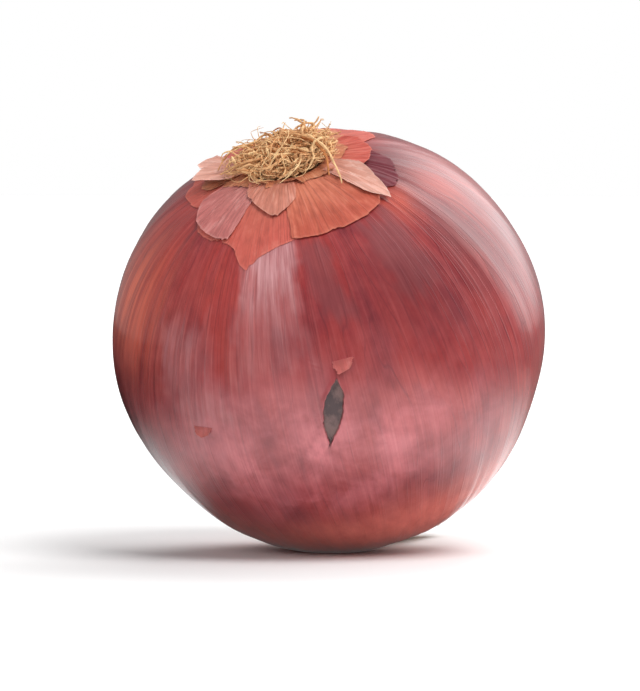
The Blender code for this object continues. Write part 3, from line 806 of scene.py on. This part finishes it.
def make_roots(name, count, seed, thick, material, sides=6, drawn=()):
    """Many curly roots in one mesh, after those whose path is given."""
    draw = random.Random(seed)
    points, faces, tints = [], [], []
    first = 0
    for index in range(-len(drawn), count):
        path = drawn_path(drawn[index]) if index < 0 else root_path(index, count, draw)
        size = draw.uniform(0.6, 1.25) * thick
        share = np.linspace(0, 1, len(path))
        radii = size * (1.15 - 0.75 * share**1.5) * (1 + 0.18 * np.sin(share * draw.uniform(15, 40) + index))
        made = tube(path, radii, sides)
        rings = len(path)
        for r in range(rings - 1):
            for c in range(sides):
                d = (c + 1) % sides
                a, b = first + r * sides, first + (r + 1) * sides
                faces.append((a + c, a + d, b + d, b + c))
        start, end = first + rings * sides, first + rings * sides + 1
        last = first + (rings - 1) * sides
        for c in range(sides):
            d = (c + 1) % sides
            faces.append((start, first + d, first + c))
            faces.append((end, last + c, last + d))
        tint = min(1, max(0, draw.gauss(0.6, 0.26)))
        own = np.concatenate([np.repeat(tint * (0.6 + 0.4 * share), sides), [tint * 0.6, tint]])
        tints.append(own)
        points.append(made)
        first += len(made)
    return add_mesh(name, np.concatenate(points), faces, material, {"tint": np.concatenate(tints)}, ())


# The studio

VIEW_AZIMUTH = 25.7
VIEW_ELEVATION = 2.0
FLOOR_GLOW = 1.7
FLOOR_DIM = 0.15
FRONT_LEVEL = 0.28
BACK_LEVEL = 2.7


def direction(azimuth, elevation):
    """The way to a point seen from the onion. Azimuth 0 is in front, from -Y, and 90 on the right."""
    a, e = math.radians(azimuth), math.radians(elevation)
    return Vector((math.sin(a) * math.cos(e), -math.cos(a) * math.cos(e), math.sin(e)))


def make_stage():
    """A wide pale floor that fades into an even white backdrop.

    In reflections the floor is bright only in a ring round the onion, as under a soft lamp.
    """
    bpy.ops.mesh.primitive_plane_add(size=30, location=(0, 0, 0))
    floor = bpy.context.object
    floor.name = "floor"
    look = Look("pale_floor", Roughness=0.7)
    look.shader.inputs["Base Color"].default_value = (0.84, 0.84, 0.84, 1)
    look.shader.inputs["Emission Color"].default_value = (1, 1, 1, 1)
    place = look.node("ShaderNodeNewGeometry").outputs["Position"]
    away = look.node("ShaderNodeVectorMath", {0: place}, operation="LENGTH").outputs["Value"]
    ray = look.node("ShaderNodeLightPath")
    far = look.ramp(look.maths("MULTIPLY", away, 0.5), (0.08, 0.0), (0.5, 0.62), smooth_steps=True)
    look.feed(look.shader.inputs["Emission Strength"], look.maths("MULTIPLY", far, ray.outputs["Is Camera Ray"]))
    ring = look.ramp(
        look.maths("MULTIPLY", away, 4.0),
        (0.10, 0.1 / FLOOR_GLOW),
        (0.20, 1.0),
        (0.32, 1.0),
        (0.56, 0.35),
        (0.95, FLOOR_DIM / FLOOR_GLOW),
        smooth_steps=True,
    )
    sideways = look.node(
        "ShaderNodeVectorMath", {0: place, 1: direction(VIEW_AZIMUTH + 80, 0)}, operation="DOT_PRODUCT"
    ).outputs["Value"]
    side = look.ramp(
        look.maths("ADD", look.maths("MULTIPLY", sideways, 4.0), 0.5), (0.05, 0.06), (0.5, 1.0), smooth_steps=True
    )
    ring = look.maths("MULTIPLY", ring, side)
    glow = look.node("ShaderNodeEmission", {"Strength": look.maths("MULTIPLY", ring, FLOOR_GLOW)})
    both = look.node("ShaderNodeMixShader", {0: ray.outputs["Is Glossy Ray"]})
    look.tree.links.new(look.shader.outputs[0], both.inputs[1])
    look.tree.links.new(glow.outputs[0], both.inputs[2])
    look.tree.links.new(both.outputs[0], look.tree.nodes["Material Output"].inputs["Surface"])
    floor.data.materials.append(look.material)

    world = bpy.data.worlds.new("studio")
    bpy.context.scene.world = world
    world.use_nodes = True
    tree = world.node_tree
    tree.nodes.clear()
    out = tree.nodes.new("ShaderNodeOutputWorld")
    seen = tree.nodes.new("ShaderNodeBackground")
    seen.inputs["Color"].default_value = (1, 1, 1, 1)
    felt = tree.nodes.new("ShaderNodeBackground")
    felt.inputs["Color"].default_value = (1, 1, 1, 1)
    heading = tree.nodes.new("ShaderNodeTexCoord")
    behind = tree.nodes.new("ShaderNodeVectorMath")
    behind.operation = "DOT_PRODUCT"
    behind.inputs[1].default_value = direction(VIEW_AZIMUTH + 131, 33)
    level = tree.nodes.new("ShaderNodeMapRange")
    level.interpolation_type = "SMOOTHSTEP"
    level.inputs["From Min"].default_value = 0.78
    level.inputs["From Max"].default_value = 0.97
    level.inputs["To Min"].default_value = FRONT_LEVEL
    level.inputs["To Max"].default_value = BACK_LEVEL
    ray = tree.nodes.new("ShaderNodeLightPath")
    mix = tree.nodes.new("ShaderNodeMixShader")
    tree.links.new(heading.outputs["Generated"], behind.inputs[0])
    tree.links.new(behind.outputs["Value"], level.inputs["Value"])
    tree.links.new(level.outputs["Result"], felt.inputs["Strength"])
    tree.links.new(ray.outputs["Is Camera Ray"], mix.inputs[0])
    tree.links.new(felt.outputs[0], mix.inputs[1])
    tree.links.new(seen.outputs[0], mix.inputs[2])
    tree.links.new(mix.outputs[0], out.inputs[0])


def add_light(name, azimuth, elevation, distance, size, power):
    """A soft rectangular light that faces the onion, and shows in no reflection."""
    lamp = bpy.data.lights.new(name, "AREA")
    lamp.shape = "RECTANGLE"
    lamp.size, lamp.size_y = size
    lamp.energy = power
    obj = bpy.data.objects.new(name, lamp)
    way = direction(azimuth, elevation)
    obj.location = Vector((0, 0, CENTRE_HEIGHT)) + way * distance
    obj.rotation_euler = way.to_track_quat("Z", "Y").to_euler()
    obj.visible_glossy = False
    bpy.context.scene.collection.objects.link(obj)


def make_camera():
    camera = bpy.data.objects.new("camera", bpy.data.cameras.new("camera"))
    camera.data.lens = 250
    camera.data.sensor_width = 36
    camera.data.clip_start = 0.01
    way = direction(VIEW_AZIMUTH, VIEW_ELEVATION)
    target = Vector((0, CENTRE_SETBACK, CENTRE_HEIGHT)) - 0.0018 * direction(VIEW_AZIMUTH + 90, 0)
    target.z -= 0.0010
    camera.location = target + way * 0.893
    camera.rotation_euler = way.to_track_quat("Z", "Y").to_euler()
    bpy.context.scene.collection.objects.link(camera)
    bpy.context.scene.camera = camera


make_bulb(red_skin())
copper = papery("copper_skin", srgb(190, 102, 84), srgb(194, 90, 78), srgb(214, 130, 116))
orange = papery("orange_skin", srgb(202, 120, 94), srgb(180, 84, 66), srgb(212, 134, 110))
straw = papery("straw_skin", srgb(180, 106, 74), srgb(192, 120, 88), srgb(226, 176, 146), 0.52)
veined = papery("veined_skin", srgb(190, 118, 96), srgb(196, 122, 104), srgb(226, 172, 156))
silvery = papery("silvery_skin", srgb(180, 112, 106), srgb(190, 110, 106), srgb(224, 168, 162))
cream = papery("cream_skin", srgb(196, 128, 108), srgb(214, 158, 142), srgb(244, 216, 206), 0.5)
# Dark purple skin, partly the skin's own colour and partly painted shadow of the lifted skin beside the roots.
purple_and_shadow = papery("purple_and_shadow_skin", srgb(96, 36, 44), srgb(108, 42, 52), srgb(140, 66, 72), 0.6)
rosy = papery("rosy_skin", srgb(170, 78, 76), srgb(188, 98, 92), srgb(212, 136, 128), 0.5)
make_outer_collar(copper)
make_tongues(straw)
make_flake(
    "flake_orange", orange, (-9, 52), 12.2,
    ((-180, 32), (-9, 32.8), (-4, 33.4), (5, 34.1), (17, 34.4), (30, 34.2), (40, 33.2), (46, 30), (52, 22), (180, 22)),
    (0.00022, 0.00030), seed=60, tear=0.3, taper=0.05, roll=0.0005,
)  # fmt: skip
make_flake(
    "flake_veined", veined, (-60, 1), 11.2,
    ((-180, 12), (-60, 12), (-51, 15), (-42, 18.7), (-34, 20.8), (-26, 23.0), (-19, 25.0), (-15, 25.2),
     (-7, 22.4), (-1.5, 20.2), (1, 16), (180, 15)),
    (0.00045, 0.00045), seed=70, tear=0.3, bow=0.0002,
)  # fmt: skip
make_flake(
    "flake_silver", silvery, (-85, -37), 12.0,
    ((-180, 20), (-85, 23), (-76, 27), (-68, 30.5), (-58, 32.2), (-48, 33.4), (-41, 32.6), (-37, 31), (180, 30)),
    (0.00025, 0.0003), seed=80, tear=0.6, taper=0.16, curl=0.0002,
)  # fmt: skip
make_flake(
    "flake_curled", cream, (38, 58), 14,
    ((-180, 25), (38, 27), (42, 31), (45.6, 34.4), (49, 31.6), (53, 26.5), (58, 20), (180, 18)),
    (0.0008, 0.0009), seed=90, tear=0.3, taper=0.1, curl=0.0002, roll=0.0010,
)  # fmt: skip
make_flake(
    "flake_pink", copper, (62, 110), 12.2,
    ((-180, 20), (62, 22), (75, 23.2), (86, 22.9), (97, 21), (106, 20.5), (110, 17), (180, 15)),
    (0.0003, 0.0007), seed=100, tear=0.6, curl=0.0004,
)  # fmt: skip
# A dark flake right of the roots: partly its own dark purple, partly painted shadow.
make_flake(
    "flake_purple_and_shadow", purple_and_shadow, (45, 88), 13,
    ((-180, 24), (45, 24), (50, 30), (56, 32.6), (63, 32.4), (71, 30.2), (79, 28.4), (84, 26), (88, 22), (180, 20)),
    (0.00012, 0.0002), seed=120, tear=0.4, taper=-0.1,
)  # fmt: skip
make_flake(
    "flake_cream", cream, (-124, -84), 11.5,
    ((-180, 20), (-124, 20), (-118, 25), (-108, 22), (-100, 24.5), (-92, 22.5), (-84, 19), (180, 18)),
    (0.0006, 0.0016), seed=110, tear=1.0, curl=0.0008,
)  # fmt: skip
make_flake(
    "flake_slit", rosy, (-2.6, 3.4), 67.8,
    ((-180, 71), (-2.6, 71.8), (-1, 71.2), (1.5, 70.6), (3.4, 68.8), (180, 69)),
    (0.00004, 0.0005), seed=130, tear=0.25, taper=0.3, curl=0.0004,
)  # fmt: skip
make_flake(
    "flake_chip", rosy, (-45.5, -40), 83.2,
    ((-180, 85), (-45.5, 84.2), (-43, 85.8), (-41, 85), (-40, 84), (180, 85)),
    (0.00004, 0.0004), seed=140, tear=0.25, taper=0.3, curl=0.0003,
)  # fmt: skip
make_plate(root_skin("corky_plate", srgb(96, 56, 36), srgb(150, 98, 64)))
fibre = root_skin("root_fibre", srgb(196, 126, 76), srgb(255, 222, 168))
make_roots(
    "roots", 225, 5, 0.00026, fibre,
    drawn=(
        ((5, 120, 0.0032), (7, 95, 0.0036), (12.5, 54, 0.0036), (17, 42, 0.0026), (20.5, 37, 0.0014), (22.6, 33, 0.0011)),
        ((6, 140, 0.0030), (8, 75, 0.0034), (13.5, 46, 0.0030), (16.5, 36, 0.0022), (18.5, 31, 0.0015)),
        ((8, 30, 0.0030), (12, 12, 0.0032), (14.5, -4, 0.0026), (15.5, -14, 0.0019)),
        ((7, -60, 0.0030), (12, -76, 0.0031), (15.5, -84, 0.0024), (18, -92, 0.0016)),
        ((9, -130, 0.0030), (13, -122, 0.0034), (16.5, -112, 0.0024), (18.5, -100, 0.0016)),
    ),
)  # fmt: skip
make_roots(
    "root_hairs", 280, 8, 0.00013, fibre, 5,
    drawn=(
        ((11, -150, 0.0024), (6, -138, 0.0040), (2, -60, 0.0046), (6, 28, 0.0042), (11, 44, 0.0030)),
        ((10, 160, 0.0026), (5, 150, 0.0042), (2, 60, 0.0048), (6, -20, 0.0040), (10, -44, 0.0030)),
        ((9, 80, 0.0030), (4, 100, 0.0044), (2, -160, 0.0046), (6, -110, 0.0038), (10, -96, 0.0028)),
        ((8, -30, 0.0034), (3, -50, 0.0046), (3, 150, 0.0044), (7, 120, 0.0036), (11, 126, 0.0026)),
        ((8, -80, 0.0032), (3, -100, 0.0047), (4, 70, 0.0043), (8, 60, 0.0034)),
        ((7, 10, 0.0036), (3, -10, 0.0045), (3, -170, 0.0046), (8, -160, 0.0034)),
    ),
)  # fmt: skip

make_stage()
add_light("key", VIEW_AZIMUTH + 40, 55, 0.9, (0.5, 0.5), 7)
add_light("fill", VIEW_AZIMUTH - 50, 30, 1.2, (0.6, 0.6), 3)
add_light("back", VIEW_AZIMUTH + 170, 50, 1.2, (0.8, 0.6), 6)
make_camera()
bpy.context.scene.view_settings.view_transform = "Standard"
